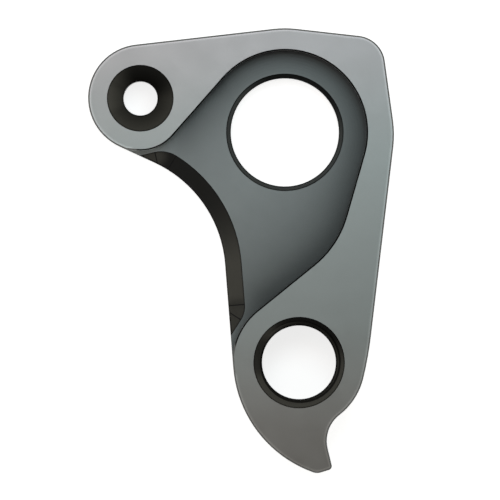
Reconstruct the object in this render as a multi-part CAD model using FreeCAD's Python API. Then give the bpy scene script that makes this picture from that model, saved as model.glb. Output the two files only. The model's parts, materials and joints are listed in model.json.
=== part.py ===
import FreeCAD, Part
import math
import os

# A bolt-on derailleur hanger for a through axle, machined in one piece from aluminium plate.
# The origin is on the axis of the wheel's axle, on the flat back that lies against the frame.
# +Z points at the wheel, +Y at the top of the hanger, and the derailleur hangs below at -Y.
# All sizes are in millimetres. Bearings and headings are in degrees, anticlockwise from +X.

# The plate and the pocket that the end of the hub drops into
plate_thickness = 8.0
pocket_depth = 3.5
hub_end_radius = 9.5
hub_end_clearance = 0.43
top_rim = 2.68
rear_rim = 2.51

# The plain hole for the axle, chamfered where it meets the pocket's floor
axle_hole_radius = 6.58
axle_hole_chamfer = 0.56

# The derailleur's tapped hole at its minor diameter, countersunk on both faces, and its lobe
bolt_x = 1.72
bolt_y = -27.98
tapped_radius = 4.5
tapped_countersink = 1.05
bolt_lobe_wall = 3.52

# The countersunk hole for the screw that holds the hanger to the frame, and its lobe
screw_x = -17.56
screw_y = 4.11
screw_hole_radius = 2.08
screw_head_radius = 4.05
screw_lobe_radius = 6.49
screw_lobe_shift_x = 0.16
screw_lobe_shift_y = 0.06

# The small chamfer where the two plain holes meet the back, and the break on all edges of both flat faces
back_chamfer = 0.35
edge_break = 0.18

# The straight edges under the screw lobe and in front of the bolt lobe, and the hollow between them
seat_edge_heading = -24.75
front_edge_heading = -85.45
hollow_radius = 14.88

# The rear edge beside the pocket, rounded from a point a little behind and below the axle
rear_x = 0.80
rear_y = -0.32

# The corner behind and above the axle, which stands out past the pocket's wall
corner_bearing = 43.46
corner_reach = 1.92
corner_radius = 3.55

# The side of the bolt lobe where it flattens into the rear edge
cheek_radius = 43.8
cheek_bearing = -13.6

# The tab below the bolt lobe: its rear edge stops the derailleur's angle screw, and its front is the flank
stop_edge_heading = 103.66
stop_edge_offset = 0.906
end_edge_heading = 17.4
tab_reach = 13.51
tab_end_width = 3.057
tab_tip_radius = 1.46
tab_heel_radius = 0.48
tab_throat_radius = 4.0
flank_radius = 14.69

# The pocket's wall between the axle and the bolt, beside the bolt lobe, and under the screw
belly_bearing = 104.67
belly_gap = 1.92
belly_radius = 11.60
bolt_pad_overlap = 0.10
screw_pad_radius = 5.25
screw_pad_drop = 1.10
screw_pad_heading = 175.0

# The sloped lead-in along the hollow, that guides the end of the hub into the pocket
lead_in_width = 2.03
lead_in_overrun = 0.30
lead_in_low_radius = 0.73
lead_in_low_run = 5.1
lead_in_low_heading = 57.5
lead_in_high_radius = 1.16
lead_in_high_bearing = 58.2
lead_in_high_heading = 193.0

# How far a cutter stands proud of the metal that it cuts
cutter_clearance = 1.0

pocket_floor = plate_thickness - pocket_depth
pocket_radius = hub_end_radius + hub_end_clearance
bolt_lobe_radius = tapped_radius + bolt_lobe_wall
bolt_pad_radius = bolt_lobe_radius + bolt_pad_overlap
seat_heading = math.radians(seat_edge_heading)
front_heading = math.radians(front_edge_heading)
stop_heading = math.radians(stop_edge_heading)
end_heading = math.radians(end_edge_heading)
pad_heading = math.radians(screw_pad_heading)
low_heading = math.radians(lead_in_low_heading)
high_heading = math.radians(lead_in_high_heading)


def direction(angle):
    """Returns the unit vector at an angle in radians."""
    return FreeCAD.Vector(math.cos(angle), math.sin(angle), 0)


def left_of(heading):
    """Returns the unit vector that points to the left of a heading."""
    return direction(heading + math.pi / 2)


class Round:
    """An arc of an outline. Its turn is 1 where the outline turns left and -1 where it turns right."""

    def __init__(self, centre, radius, turn=1):
        self.centre = centre
        self.radius = radius
        self.turn = turn

    def nested(self, radius, bearing):
        """Returns an arc of another radius that touches this one at a bearing from its centre."""
        shift = direction(math.radians(bearing)) * (self.radius - radius)
        return Round(self.centre + shift, radius, self.turn)

    def grown(self, amount):
        """Returns the arc round the same centre with a larger radius."""
        return Round(self.centre, self.radius + amount, self.turn)

    def widened(self, amount):
        """Returns the arc of the outline that runs beside this one, to the right of it."""
        return Round(self.centre, self.radius + amount * self.turn, self.turn)

    def reversed(self):
        """Returns the same arc, for an outline that turns round it the other way."""
        return Round(self.centre, self.radius, -self.turn)

    def point(self, heading):
        """Returns the point where the outline runs round this arc with the given heading."""
        return self.centre - left_of(heading) * (self.radius * self.turn)

    def arc(self, heading_in, heading_out):
        """Returns the edge along which the outline turns from one heading to another."""
        sweep = (heading_out - heading_in) * self.turn % (2 * math.pi)
        middle = heading_in + self.turn * sweep / 2
        return Part.Arc(self.point(heading_in), self.point(middle), self.point(heading_out)).toShape()


def corner_round(start, heading_in, end, heading_out, radius, turn=1):
    """Returns the arc that rounds the corner between a straight edge through each of two points."""
    start_axis = start + left_of(heading_in) * (radius * turn)
    inward = left_of(heading_out) * turn
    shortfall = radius - (start_axis - end).dot(inward)
    centre = start_axis + direction(heading_in) * (shortfall / direction(heading_in).dot(inward))
    return Round(centre, radius, turn)


def round_onto(start, heading, radius, inner):
    """Returns the arc that follows a straight edge and ends on a smaller arc that it touches."""
    axis = start + left_of(heading) * radius - inner.centre
    along = axis.dot(direction(heading))
    reach = math.sqrt(along ** 2 - axis.dot(axis) + (radius - inner.radius) ** 2)
    return Round(inner.centre + axis - direction(heading) * (along + reach), radius)


def heading_between(first, second):
    """Returns the heading of the outline where it leaves one arc for the next, along their tangent."""
    gap = second.centre - first.centre
    bearing = math.atan2(gap.y, gap.x)
    lean = (first.turn * first.radius - second.turn * second.radius) / gap.Length
    if math.isclose(abs(lean), 1.0, abs_tol=1e-9):
        return bearing + math.copysign(math.pi / 2, lean)
    return bearing + math.asin(lean)


def edges_along(rounds, headings):
    """Returns arcs and the tangents between them, given the heading into each arc and out of the last."""
    edges = []
    for index, this in enumerate(rounds):
        edges.append(this.arc(headings[index], headings[index + 1]))
        if index + 1 < len(rounds):
            start = this.point(headings[index + 1])
            end = rounds[index + 1].point(headings[index + 1])
            if start.distanceToPoint(end) > Part.Precision.confusion():
                edges.append(Part.LineSegment(start, end).toShape())
    return edges


def closed_face(rounds):
    """Returns the face inside a ring of arcs and their tangents."""
    headings = [heading_between(rounds[index - 1], this) for index, this in enumerate(rounds)]
    headings.append(headings[0])
    ring = edges_along(rounds, headings)
    last = Part.LineSegment(rounds[-1].point(headings[0]), rounds[0].point(headings[0])).toShape()
    return Part.Face(Part.Wire(ring + [last]))


def open_face(rounds, heading_in, heading_out, corners):
    """Returns the face inside arcs and their tangents that are closed by straight lines through corners."""
    headings = [heading_between(rounds[index], rounds[index + 1]) for index in range(len(rounds) - 1)]
    edges = edges_along(rounds, [heading_in] + headings + [heading_out])
    points = [rounds[-1].point(heading_out)] + corners + [rounds[0].point(heading_in)]
    closing = [Part.LineSegment(start, end).toShape() for start, end in zip(points, points[1:])]
    return Part.Face(Part.Wire(edges + closing))


def raised(face, bottom, top):
    """Returns a face extruded from one height to another."""
    face.translate(FreeCAD.Vector(0, 0, bottom))
    return face.extrude(FreeCAD.Vector(0, 0, top - bottom))


def sloped_cutter(face, foot, slope):
    """Returns the cutter that widens at 45 degrees from its foot to fill a face, and then goes straight up."""
    block = raised(face, foot, plate_thickness + cutter_clearance)
    foot_edges = [edge for edge in block.Edges if edge.BoundBox.ZMax < foot + slope / 2]
    return block.makeChamfer(slope, foot_edges)


def drill(centre, radius, front, front_chamfer, rear_chamfer):
    """Returns the cutter for a hole through to the back, chamfered at 45 degrees at both ends."""
    below = centre - FreeCAD.Vector(0, 0, cutter_clearance)
    hole = Part.makeCylinder(radius, front + 2 * cutter_clearance, below)
    front_reach = front_chamfer + cutter_clearance
    front_start = centre + FreeCAD.Vector(0, 0, front - front_chamfer)
    front_cone = Part.makeCone(radius, radius + front_reach, front_reach, front_start)
    rear_reach = rear_chamfer + cutter_clearance
    rear_cone = Part.makeCone(radius + rear_reach, radius, rear_reach, below)
    return hole.fuse([front_cone, rear_cone])


# The centres of the axle, the derailleur's bolt and the frame's screw
axle = FreeCAD.Vector(0, 0, 0)
bolt = FreeCAD.Vector(bolt_x, bolt_y, 0)
screw = FreeCAD.Vector(screw_x, screw_y, 0)

# The arcs round the screw and the bolt, and the hollow between the straight edges that touch them
screw_lobe = Round(screw + FreeCAD.Vector(screw_lobe_shift_x, screw_lobe_shift_y, 0), screw_lobe_radius)
bolt_lobe = Round(bolt, bolt_lobe_radius)
seat_edge = screw_lobe.point(seat_heading)
front_edge = bolt_lobe.point(front_heading)
hollow = corner_round(seat_edge, seat_heading, front_edge, front_heading, hollow_radius, -1)

# The tab, whose stop edge lies a little behind the bolt and rises into the bolt lobe through the throat
stop_edge = bolt - left_of(stop_heading) * stop_edge_offset
tab_front = stop_edge + left_of(stop_heading) * tab_end_width
end_edge = bolt - left_of(end_heading) * tab_reach
tab_tip = corner_round(tab_front, stop_heading + math.pi, end_edge, end_heading, tab_tip_radius)
tab_heel = corner_round(end_edge, end_heading, stop_edge, stop_heading, tab_heel_radius)
throat_side = stop_edge_offset + tab_throat_radius
throat_drop = math.sqrt((bolt_lobe_radius + tab_throat_radius) ** 2 - throat_side ** 2)
throat_centre = bolt - left_of(stop_heading) * throat_side - direction(stop_heading) * throat_drop
tab_throat = Round(throat_centre, tab_throat_radius, -1)
flank = round_onto(front_edge, front_heading, flank_radius, tab_tip)

# The rest of the outside, and all of it anticlockwise from the top
top = Round(axle, pocket_radius + top_rim)
cheek = bolt_lobe.nested(cheek_radius, cheek_bearing)
rear = Round(FreeCAD.Vector(rear_x, rear_y, 0), pocket_radius + rear_rim)
corner = Round(direction(math.radians(corner_bearing)) * (pocket_radius + corner_reach), corner_radius)
outline = [top, screw_lobe, hollow, flank, tab_tip, tab_heel, tab_throat, bolt_lobe, cheek, rear, corner]

# The pocket is open along the hollow, and its wall starts where the bolt lobe leaves the straight edge.
# Here and at the lead-in, a second shallow cutter, a little wider than the first, breaks the wall's top edge.
edge_up = front_heading + math.pi
bolt_pad = Round(bolt, bolt_pad_radius, -1)
belly_distance = bolt_pad_radius + belly_gap + belly_radius
belly = Round(bolt + direction(math.radians(belly_bearing)) * belly_distance, belly_radius)
hub_seat = Round(axle, pocket_radius)
screw_pad = Round(screw - FreeCAD.Vector(0, screw_pad_drop, 0), screw_pad_radius, -1)
pocket_wall = [bolt_pad, belly, hub_seat, screw_pad]


def pocket_face(wall):
    """Returns the face of the pocket inside a wall, closed outside the plate."""
    pad_corner = wall[-1].point(pad_heading) + direction(pad_heading) * screw_lobe_radius
    return open_face(wall, edge_up, pad_heading, [pad_corner, hollow.centre])


pocket = raised(pocket_face(pocket_wall), pocket_floor, plate_thickness + cutter_clearance)
pocket_rim = [this.widened(edge_break) for this in pocket_wall]
pocket_break = sloped_cutter(pocket_face(pocket_rim), plate_thickness - edge_break, edge_break)

# The lead-in keeps its width along the hollow and turns off the plate at both ends
lead_in_drop = lead_in_width + lead_in_overrun
lead_in_arc = hollow.reversed().grown(lead_in_width)
low_radius = lead_in_drop + lead_in_low_radius
low_start = lead_in_arc.point(edge_up) - direction(edge_up) * lead_in_low_run
lead_in_low = Round(low_start + left_of(edge_up) * low_radius, low_radius)
lead_in_high = lead_in_arc.nested(lead_in_drop + lead_in_high_radius, lead_in_high_bearing)
lead_in_wall = [lead_in_low, lead_in_arc, lead_in_high]


def lead_in_face(wall):
    """Returns the face of the lead-in inside a wall, closed outside the plate."""
    high_corner = wall[-1].point(high_heading) + direction(high_heading) * hollow_radius
    low_corner = wall[0].point(low_heading) - direction(low_heading) * hollow_radius
    return open_face(wall, low_heading, high_heading, [high_corner, low_corner])


lead_in = sloped_cutter(lead_in_face(lead_in_wall), pocket_floor - lead_in_drop, lead_in_drop)
lead_in_rim = [this.widened(edge_break) for this in lead_in_wall]
lead_in_break = sloped_cutter(lead_in_face(lead_in_rim), plate_thickness - edge_break, edge_break)

# The three holes, and the plate that everything is cut from
screw_countersink = screw_head_radius - screw_hole_radius
axle_hole = drill(axle, axle_hole_radius, pocket_floor, axle_hole_chamfer, back_chamfer)
bolt_hole = drill(bolt, tapped_radius, plate_thickness, tapped_countersink, tapped_countersink)
screw_hole = drill(screw, screw_hole_radius, plate_thickness, screw_countersink, back_chamfer)
blank = raised(closed_face(outline), 0, plate_thickness)
blank_edges = [edge for edge in blank.Edges if edge.BoundBox.ZLength < plate_thickness / 2]
plate = blank.makeChamfer(edge_break, blank_edges)
hanger = plate.cut([pocket, pocket_break, lead_in, lead_in_break, axle_hole, bolt_hole, screw_hole])

os.makedirs("parts", exist_ok=True)
hanger.exportStep("parts/hanger.step")
print("hanger: solids", len(hanger.Solids), "valid", hanger.isValid(), "volume", round(hanger.Volume, 1))
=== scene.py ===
import json
import math
from functools import cached_property

import bmesh
import bpy
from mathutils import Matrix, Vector
from mathutils.bvhtree import BVHTree


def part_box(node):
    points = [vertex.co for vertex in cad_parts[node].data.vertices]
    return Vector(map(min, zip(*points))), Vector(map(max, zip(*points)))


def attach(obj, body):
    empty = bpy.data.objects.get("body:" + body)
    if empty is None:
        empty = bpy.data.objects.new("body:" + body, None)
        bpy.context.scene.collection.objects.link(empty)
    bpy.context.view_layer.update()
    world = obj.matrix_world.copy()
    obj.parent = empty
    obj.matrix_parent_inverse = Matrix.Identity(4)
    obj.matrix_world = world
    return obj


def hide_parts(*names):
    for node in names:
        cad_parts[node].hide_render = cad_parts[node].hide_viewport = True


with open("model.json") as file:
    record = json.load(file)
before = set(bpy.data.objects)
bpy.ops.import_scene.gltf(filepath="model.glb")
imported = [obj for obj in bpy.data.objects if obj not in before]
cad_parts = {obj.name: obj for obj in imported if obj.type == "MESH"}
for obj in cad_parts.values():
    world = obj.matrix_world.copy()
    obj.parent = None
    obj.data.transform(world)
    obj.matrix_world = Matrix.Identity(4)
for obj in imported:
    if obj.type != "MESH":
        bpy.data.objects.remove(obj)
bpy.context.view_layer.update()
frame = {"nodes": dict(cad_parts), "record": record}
MM = 0.001


# The hanger, milled in one piece from aluminium plate. Everything but the thread is already in its
# machined shape: the pocket for the hub's end, the lead-in, the three holes and the broken edges.
hanger_node = frame["nodes"]["hanger"]
weld_distance = 0.001 * MM
flat_tolerance = math.radians(0.05)

machined = bmesh.new()
machined.from_mesh(hanger_node.data)
bmesh.ops.remove_doubles(machined, verts=machined.verts, dist=weld_distance)
bmesh.ops.dissolve_limit(
    machined, angle_limit=flat_tolerance, verts=machined.verts, edges=machined.edges, delimit=set()
)
hanger_mesh = bpy.data.meshes.new("derailleur_hanger")
machined.to_mesh(hanger_mesh)
machined.free()
hanger = bpy.data.objects.new("derailleur_hanger", hanger_mesh)
bpy.context.scene.collection.objects.link(hanger)


# The thread that holds the derailleur's bolt, M10 with a pitch of 1 mm, right-handed. It is tapped right
# through the lobe, so its groove runs out as a spiral on the countersink of each face.
bolt_mount = next(mount for mount in frame["record"]["mounts"] if mount["name"] == "derailleur_thread")
bolt_x, bolt_y = bolt_mount["pos_m"][:2]
thread_major_radius = 5.0 * MM
thread_pitch = 1.0 * MM
thread_root_flat = thread_pitch / 8
thread_flank = math.tan(math.radians(30))
thread_turned = math.radians(131)
cutter_inner_radius = 4.2 * MM
cutter_overrun = 1.5 * thread_pitch
steps_per_turn = 72

low_z, high_z = (corner.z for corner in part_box("hanger"))
turns = (high_z - low_z + 2 * cutter_overrun) / thread_pitch
steps = round(turns * steps_per_turn)
root_half = thread_root_flat / 2
base_half = root_half + (thread_major_radius - cutter_inner_radius) * thread_flank
start_z = low_z - cutter_overrun

groove = bmesh.new()
tooth = [
    (cutter_inner_radius, -base_half),
    (thread_major_radius, -root_half),
    (thread_major_radius, root_half),
    (cutter_inner_radius, base_half),
]
across, along = math.cos(thread_turned), math.sin(thread_turned)
groove.faces.new(
    [groove.verts.new((radius * across, radius * along, start_z + rise)) for radius, rise in tooth]
)
bmesh.ops.spin(
    groove,
    geom=groove.verts[:] + groove.edges[:] + groove.faces[:],
    cent=(0, 0, 0),
    axis=(0, 0, 1),
    dvec=(0, 0, thread_pitch / steps_per_turn),
    angle=steps / steps_per_turn * 2 * math.pi,
    steps=steps,
    use_merge=False,
)
bmesh.ops.translate(groove, verts=groove.verts, vec=(bolt_x, bolt_y, 0))
bmesh.ops.recalc_face_normals(groove, faces=groove.faces)
groove_mesh = bpy.data.meshes.new("thread_groove")
groove.to_mesh(groove_mesh)
groove.free()
groove_cutter = bpy.data.objects.new("thread_groove", groove_mesh)
bpy.context.scene.collection.objects.link(groove_cutter)

tapping = hanger.modifiers.new("tapping", "BOOLEAN")
tapping.operation = "DIFFERENCE"
tapping.solver = "EXACT"
tapping.object = groove_cutter
bpy.context.view_layer.update()
tapped = hanger.evaluated_get(bpy.context.evaluated_depsgraph_get())
tapped_mesh = bpy.data.meshes.new_from_object(tapped)
hanger.modifiers.clear()
hanger.data = tapped_mesh
bpy.data.objects.remove(groove_cutter)


# The faces as the tools leave them: the blasted skin, the milled floor of the pocket, the cut slopes of
# the lead-in, countersinks and thread, and the narrow break that takes the burr off the flat faces' edges.
# A break with metal beside it lies round the pocket, and one with none beside it round the outline.
BLASTED, MILLED, CUT, BROKEN, RUBBED = range(5)
pocket_floor_z = 4.5 * MM
floor_tolerance = 0.1 * MM
upright_normal_z, level_normal_z = 0.2, 0.95
break_height = 0.25 * MM
tapped_reach = 5.7 * MM
beside = 0.5 * MM
sharp_angle = math.radians(35)

surface = bmesh.new()
surface.from_mesh(hanger.data)
bmesh.ops.remove_doubles(surface, verts=surface.verts, dist=weld_distance)
solid = BVHTree.FromBMesh(surface)
for face in surface.faces:
    middle = face.calc_center_median()
    heights = [vert.co.z for vert in face.verts]
    in_tapped_hole = math.hypot(middle.x - bolt_x, middle.y - bolt_y) < tapped_reach
    face.smooth = True
    face.material_index = BLASTED
    if face.normal.z > level_normal_z and abs(middle.z - pocket_floor_z) < floor_tolerance:
        face.material_index = MILLED
    elif in_tapped_hole and abs(face.normal.z) < level_normal_z:
        face.material_index = CUT
    elif upright_normal_z < abs(face.normal.z) < level_normal_z:
        face.material_index = CUT
        if max(heights) < low_z + break_height or min(heights) > high_z - break_height:
            outwards = Vector((face.normal.x, face.normal.y, 0)).normalized() * beside
            metal_below = solid.ray_cast(middle + outwards, Vector((0, 0, -1)))[0]
            face.material_index = BROKEN if metal_below else RUBBED


# The four thin lines down the lead-in's slope, near its two ends, where the cutter went from a straight run
# into a turn. Each is an edge of the slope, cut flat to a width that shows.
line_places = [(-15.65, -3.13), (-13.74, -3.68), (-5.86, -21.01), (-6.07, -22.35)]
line_half_width = 0.06 * MM
down_slope = 1.5 * MM


def distance_from(edge, x, y):
    """How far the middle of an edge is from a place, seen from above. The place is in millimetres."""
    middle = (edge.verts[0].co + edge.verts[1].co) / 2
    return math.hypot(middle.x - x * MM, middle.y - y * MM)


slope_edges = [
    edge
    for edge in surface.edges
    if all(face.material_index == CUT for face in edge.link_faces) and edge.calc_length() > down_slope
]
scored = bmesh.ops.bevel(
    surface,
    geom=[min(slope_edges, key=lambda edge: distance_from(edge, x, y)) for x, y in line_places],
    offset=line_half_width,
    affect="EDGES",
    segments=1,
    profile=0.5,
    material=-1,
    clamp_overlap=True,
)
for edge in surface.edges:
    edge.smooth = edge.calc_face_angle(math.pi) < sharp_angle
for face in scored["faces"]:
    face.material_index = BROKEN
    for edge in face.edges:
        edge.smooth = False
surface.to_mesh(hanger.data)
surface.free()


# The finish, fine bead-blasting and a satin grey anodising over aluminium. Its colour is painted darker
# down in the recesses as painted shade, and along the outer edges a painted highlight shows as a light
# line.
class Shade:
    """A socket in a material, on which plain arithmetic adds Math nodes."""

    def __init__(self, tree, socket=None):
        self.tree = tree
        self.socket = socket

    def node(self, kind, settings=(), inputs=(), output=0):
        """Adds a node, sets it up, fills or links its sockets and returns one of its outputs."""
        made = self.tree.nodes.new("ShaderNode" + kind)
        for name, value in dict(settings).items():
            setattr(made, name, value)
        for name, value in dict(inputs).items():
            if isinstance(value, Shade):
                self.tree.links.new(value.socket, made.inputs[name])
            else:
                made.inputs[name].default_value = value
        return Shade(self.tree, made.outputs[output])

    def into(self, shader, name):
        self.tree.links.new(self.socket, shader.inputs[name])

    def math(self, operation, first, second=0.0):
        return self.node("Math", {"operation": operation}, {0: first, 1: second})

    def dot(self, direction):
        """How far this vector reaches in a direction."""
        return self.node("VectorMath", {"operation": "DOT_PRODUCT"}, {0: self, 1: direction}, "Value")

    def blend(self, share, first, second):
        """Mixes two colours, from first at a share of 0 to second at 1, and on beyond it."""
        settings = {"data_type": "RGBA", "clamp_factor": False}
        return self.node("Mix", settings, {0: share, 6: first, 7: second}, 2)

    def ease(self, low, high):
        """Rises smoothly from 0 to 1 while this value goes from low to high."""
        inputs = {"Value": self, "From Min": low, "From Max": high}
        return self.node("MapRange", {"interpolation_type": "SMOOTHSTEP"}, inputs)

    def __add__(self, other):
        return self.math("ADD", self, other)

    __radd__ = __add__

    def __sub__(self, other):
        return self.math("SUBTRACT", self, other)

    def __rsub__(self, other):
        return self.math("SUBTRACT", other, self)

    def __mul__(self, other):
        return self.math("MULTIPLY", self, other)

    __rmul__ = __mul__

    def __pow__(self, other):
        return self.math("POWER", self, other)


class Finish:
    """One finish of the hanger: its shader, and what the finishes measure on the surface."""

    recess_reach = 12 * MM
    edge_reach = 0.35 * MM
    patch_scale = 350
    grain_scale = 5500
    grain_height = 0.004 * MM
    no_colour = (0, 0, 0, 1)

    def __init__(self, name):
        self.material = bpy.data.materials.new(name)
        self.material.use_nodes = True
        self.shader = self.material.node_tree.nodes["Principled BSDF"]
        self.graph = Shade(self.material.node_tree)
        self.place = self.graph.node("TexCoord", output="Object")

    @cached_property
    def open_sky(self):
        """1 on an open face, and less the deeper a point lies between walls. The finishes multiply it into
        their colours as painted shade.
        """
        settings = {"samples": 32, "only_local": True}
        return self.graph.node("AmbientOcclusion", settings, {"Distance": self.recess_reach}, "AO")

    @cached_property
    def edge(self):
        """1 along an outer edge, where the metal behind the surface is thin, and 0 elsewhere."""
        settings = {"samples": 16, "only_local": True, "inside": True}
        metal_behind = self.graph.node("AmbientOcclusion", settings, {"Distance": self.edge_reach}, "AO")
        return (1 - metal_behind).ease(0.01, 0.08)

    @cached_property
    def patches(self):
        """Soft patches a few millimetres across, from -0.5 to 0.5."""
        return self.noise(self.patch_scale, 3) - 0.5

    @cached_property
    def grain(self):
        """The fine grain of the blasting, from -0.5 to 0.5."""
        return self.noise(self.grain_scale, 2) - 0.5

    def noise(self, scale, detail):
        inputs = {"Vector": self.place, "Scale": scale, "Detail": detail}
        return self.graph.node("TexNoise", {}, inputs, "Fac")

    def near(self, x, y, z, close, clear):
        """1 within the close distance of a place on the hanger, 0 beyond the clear one, in millimetres."""
        spot = {0: self.place, 1: (x * MM, y * MM, z * MM)}
        away = self.graph.node("VectorMath", {"operation": "DISTANCE"}, spot, "Value")
        return 1 - away.ease(close * MM, clear * MM)

    def paint(self, colour, tone):
        """Sets the base colour, with a tone in which 1 is the colour as written."""
        self.graph.blend(tone, self.no_colour, colour).into(self.shader, "Base Color")

    def relief(self, height):
        bump = self.graph.node("Bump", {}, {"Height": height, "Distance": self.grain_height})
        bump.into(self.shader, "Normal")


# The blasted skin, on both flat faces and the sides. Its grey carries a painted light tint, a little green
# in the middle of the hanger and warm down the tail, and painted shade makes it darkest down the tail. A
# painted highlight runs as a light line along the outline, but not round the pocket or the holes.
screw_mount = next(mount for mount in frame["record"]["mounts"] if mount["name"] == "frame_screw_hole")
screw_at = [metres / MM for metres in screw_mount["pos_m"][:2]]
bolt_at = [metres / MM for metres in bolt_mount["pos_m"][:2]]
top_face = high_z / MM
# These greys carry a painted light tint: a little green in the middle, neutral towards the upper end, warm
# down the tail.
cool_grey = (0.372, 0.406, 0.408, 1)
upper_grey = (0.402, 0.392, 0.403, 1)
tail_grey = (0.402, 0.392, 0.386, 1)
# Spots round the pocket and the holes, with their reach, where the painted highlight is left off.
round_screw = (*screw_at, 4.3)
round_bolt = (*bolt_at, 6)
round_hub = (0, 0, 11.1)
below_hub = (-3.8, -7, 13)
beside_bolt = (-4.8, -23.4, 5.8)
beside_screw = (-15.8, -1.9, 2.5)
without_highlight = (round_screw, round_bolt, round_hub, below_hub, beside_bolt, beside_screw)
fade = 0.6

blasted = Finish("blasted_aluminium")
# Painted highlight: a light line along the outer edges, patchy along its length.
edge_highlight = blasted.edge * (1 + 0.8 * blasted.patches)
for x, y, reach in without_highlight:
    edge_highlight = edge_highlight * (1 - blasted.near(x, y, top_face, close=reach, clear=reach + fade))
# The painted light tint, blended along the hanger.
to_upper_end = blasted.place.dot((0, 1, 0)).ease(-5 * MM, 13 * MM)
to_tail = blasted.place.dot((0, -1, 0)).ease(21 * MM, 39 * MM)
grey = blasted.graph.blend(to_upper_end, cool_grey, upper_grey)
grey = blasted.graph.blend(to_tail, grey, tail_grey)
speckle = 1 + 0.08 * blasted.patches + 0.05 * blasted.grain
# Painted shade down the tail; the colour below also takes painted shade in the recesses, random speckle and
# the painted highlight.
tail_shade = blasted.place.dot((0, -1, 0)).ease(28 * MM, 40 * MM)
blasted.paint(grey, blasted.open_sky * speckle * (1 + 0.4 * edge_highlight) * (1 - 0.15 * tail_shade))
(0.45 + 0.1 * blasted.patches).into(blasted.shader, "Roughness")
blasted.shader.inputs["Metallic"].default_value = 1.0
blasted.relief(blasted.grain)


# The milled floor of the pocket, with the faint rings that the cutter leaves round the axle. It is painted
# darker towards the pocket's wall as painted shade, but painted lighter beside the screw's pad and the lobe
# as painted light.
milled_grey = (0.25, 0.276, 0.281, 1)
pocket_floor = pocket_floor_z / MM
ring_gap = 0.35 * MM
ring_gap_at_scale_one = 2 * math.pi / 20

milled = Finish("milled_aluminium")
ring_settings = {"wave_type": "RINGS", "rings_direction": "Z"}
ring_inputs = {
    "Vector": milled.place,
    "Scale": ring_gap_at_scale_one / ring_gap,
    "Distortion": 0.6,
    "Detail": 2,
    "Detail Scale": 40,
}
rings = milled.graph.node("TexWave", ring_settings, ring_inputs, "Fac") - 0.5
# Masks for the painted light beside the screw's pad, most where the floor lies deep, and by the bolt's
# lobe.
by_screw_pad = milled.place.dot((-1, -0.2, 0)).ease(9 * MM, 17 * MM) ** 2
by_screw_pad = by_screw_pad + 0.09 * milled.near(-11.1, 2, pocket_floor, close=1, clear=5)
by_bolt_lobe = milled.near(-6.8, -25.5, pocket_floor, close=1, clear=7.5)
# Painted shade towards the pocket's walls, and painted light beside the screw's pad and by the bolt's lobe.
recess = 0.12 + 0.88 * milled.open_sky ** 2.7 + 0.12 * by_screw_pad * milled.open_sky ** -4
recess = recess * (1 + 0.7 * by_bolt_lobe)
milled.paint(milled_grey, recess * (1 + 0.03 * rings + 0.1 * milled.patches))
(0.45 + 0.06 * rings).into(milled.shader, "Roughness")
milled.shader.inputs["Metallic"].default_value = 1.0
milled.relief(0.3 * rings)


# The cut slopes of the lead-in, the countersinks and the thread, painted almost black as painted shade.
# They are painted paler where they face the upper end of the hanger as painted light, with a painted sheen
# at the slope's upper end and a painted glint on the left of the screw's countersink, and painted shade at
# the slope's lower end, on the left of the bolt's countersink and down in the recesses. A dark line follows
# each of their outer edges.
# Painted shade: the near-black colours of the cut faces stand for their shading.
shaded_warm_black = (0.1, 0.096, 0.083, 1)
shaded_axle_black = (0.09, 0.096, 0.095, 1)
upper_end = (0.34, 0.94, 0)
to_the_right = (1, 0, 0)

cut = Finish("cut_aluminium")
normal = cut.graph.node("TexCoord", output="Normal")
# Places of the painted glint, sheen and shade on the cut faces.
screw_cone = cut.near(*screw_at, 6, close=4.5, clear=5.5)
bolt_cone_left = cut.near(-3.6, -27, top_face, close=1.5, clear=3.6)
axle_edge = cut.near(0, 0, pocket_floor, close=8, clear=9)
slope_start = cut.near(-16.6, -2.9, 4, close=1.2, clear=2.8)
slope_end = cut.near(-6, -25, 4, close=4, clear=5.4)
# Painted light: paler where the faces turn to the upper end, and a painted sheen at the slope's start.
tone = 0.1 + 0.9 * normal.dot(upper_end).ease(-0.62, -0.15) + 0.6 * slope_start
# Painted shade at the slope's lower end and on the left of the bolt's countersink.
tone = tone * (1 - 0.45 * slope_end) * (1 - 0.5 * bolt_cone_left)
# A painted glint on the left of the screw's countersink, which is otherwise painted darker.
screw_cone_glint = 0.1 + 0.4 * normal.dot(to_the_right).ease(0.6, 0.7)
tone = tone * (1 - 0.3 * screw_cone) + screw_cone * screw_cone_glint
# Painted shade in the recesses, dark lines along the outer edges, and random patches.
tone = tone * cut.open_sky ** 1.6 * (1 - 0.85 * cut.edge) * (1 + 0.12 * cut.patches)
cut.paint(cut.graph.blend(axle_edge, shaded_warm_black, shaded_axle_black), tone)
(0.4 + 0.1 * cut.patches).into(cut.shader, "Roughness")
cut.shader.inputs["Specular IOR Level"].default_value = 0.06
cut.relief(cut.grain)


# The narrow breaks along the edges, which take the anodising darker than the blasted skin: black round the
# pocket and on the thin lines of the slope, and grey round the outline. Both are painted darker in the
# recesses as painted shade.
break_black = (0.003, 0.003, 0.003, 1)
break_grey = (0.17, 0.17, 0.168, 1)

broken = Finish("broken_edges")
broken.paint(break_black, broken.open_sky * (1 + 0.5 * broken.patches))
(0.4 + 0.1 * broken.patches).into(broken.shader, "Roughness")
broken.shader.inputs["Specular IOR Level"].default_value = 0.05

rubbed = Finish("rubbed_edges")
rubbed.paint(break_grey, rubbed.open_sky * (1 + 0.5 * rubbed.patches))
(0.4 + 0.1 * rubbed.patches).into(rubbed.shader, "Roughness")
rubbed.shader.inputs["Specular IOR Level"].default_value = 0.1

for surface_finish in (blasted, milled, cut, broken, rubbed):
    hanger.data.materials.append(surface_finish.material)

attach(hanger, "root")
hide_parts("hanger")


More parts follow.
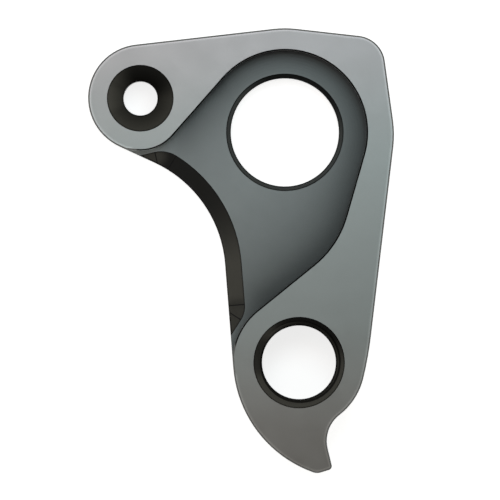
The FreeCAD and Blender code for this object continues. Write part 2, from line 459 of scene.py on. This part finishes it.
# The pale table that the hanger lies on. It keeps the hanger's soft shadow, and shows white to the eye and
# in the metal.
table_size = 6.0
table_build = bmesh.new()
bmesh.ops.create_grid(table_build, x_segments=1, y_segments=1, size=table_size / 2)
table_mesh = bpy.data.meshes.new("table")
table_build.to_mesh(table_mesh)
table_build.free()
table = bpy.data.objects.new("table", table_mesh)
bpy.context.scene.collection.objects.link(table)

matt_white = bpy.data.materials.new("matt_white")
matt_white.use_nodes = True
matt_white.node_tree.nodes.clear()
table_graph = Shade(matt_white.node_tree)
white_glow = 0.8
matt_colour = (0.85, 0.85, 0.85, 1)
to_eye = table_graph.node("LightPath", output="Is Camera Ray")
in_gloss = table_graph.node("LightPath", output="Is Glossy Ray")
through_glass = table_graph.node("LightPath", output="Is Transmission Ray")
matt = table_graph.node("BsdfDiffuse", {}, {"Color": matt_colour})
glow = table_graph.node("Emission", {}, {"Strength": (to_eye + in_gloss + through_glass) * white_glow})
output = matt_white.node_tree.nodes.new("ShaderNodeOutputMaterial")
table_graph.node("AddShader", {}, {0: matt, 1: glow}).into(output, "Surface")
table.data.materials.append(matt_white)


# The studio: a white horizon all round under a dim warm ceiling, and two square softboxes high over the
# hanger. The warmer one stands to its left, and the cooler one, which is stronger, beyond its top right.
horizon = (0.98, 0.97, 0.95, 1)
ceiling = (0.085, 0.072, 0.045, 1)
ceiling_height = 0.92
studio = bpy.data.worlds.new("studio")
studio.use_nodes = True
studio_graph = Shade(studio.node_tree)
direction = studio_graph.node("TexCoord", output="Generated")
height = studio_graph.node("SeparateXYZ", {}, {0: direction}, "Z")
background = studio.node_tree.nodes["Background"]
studio_graph.blend(height.ease(0, ceiling_height), horizon, ceiling).into(background, "Color")
bpy.context.scene.world = studio

lit_point = Vector((-0.005, -0.012, 0))
softbox_size = 0.06
for name, place, power, colour in [
    ("left_softbox", (-0.028, 0.02, 0.14), 0.0226, (1.0, 0.92, 0.9)),
    ("right_softbox", (0.015, 0.045, 0.14), 0.0358, (0.76, 0.95, 1.0)),
]:
    light = bpy.data.lights.new(name, "AREA")
    light.color = colour
    light.size = softbox_size
    light.energy = power
    softbox = bpy.data.objects.new(name, light)
    softbox.location = place
    softbox.rotation_euler = (lit_point - Vector(place)).to_track_quat("-Z", "Y").to_euler()
    bpy.context.scene.collection.objects.link(softbox)


# The camera, straight above the hanger with a long lens, as in the photograph, so that the walls and the
# bores show end on.
view_centre = (-4.24 * MM, -14.31 * MM)
view_width = 60.75 * MM
lens = 1000.0
true_size_height = 6 * MM
nearest_seen = 0.1
camera_data = bpy.data.cameras.new("camera")
camera_data.lens = lens
camera_height = true_size_height + view_width * lens / camera_data.sensor_width
camera_data.clip_start = nearest_seen
camera_data.clip_end = 2 * camera_height
camera = bpy.data.objects.new("camera", camera_data)
camera.location = (*view_centre, camera_height)
bpy.context.scene.collection.objects.link(camera)
bpy.context.scene.camera = camera
bpy.context.scene.view_settings.view_transform = "Standard"
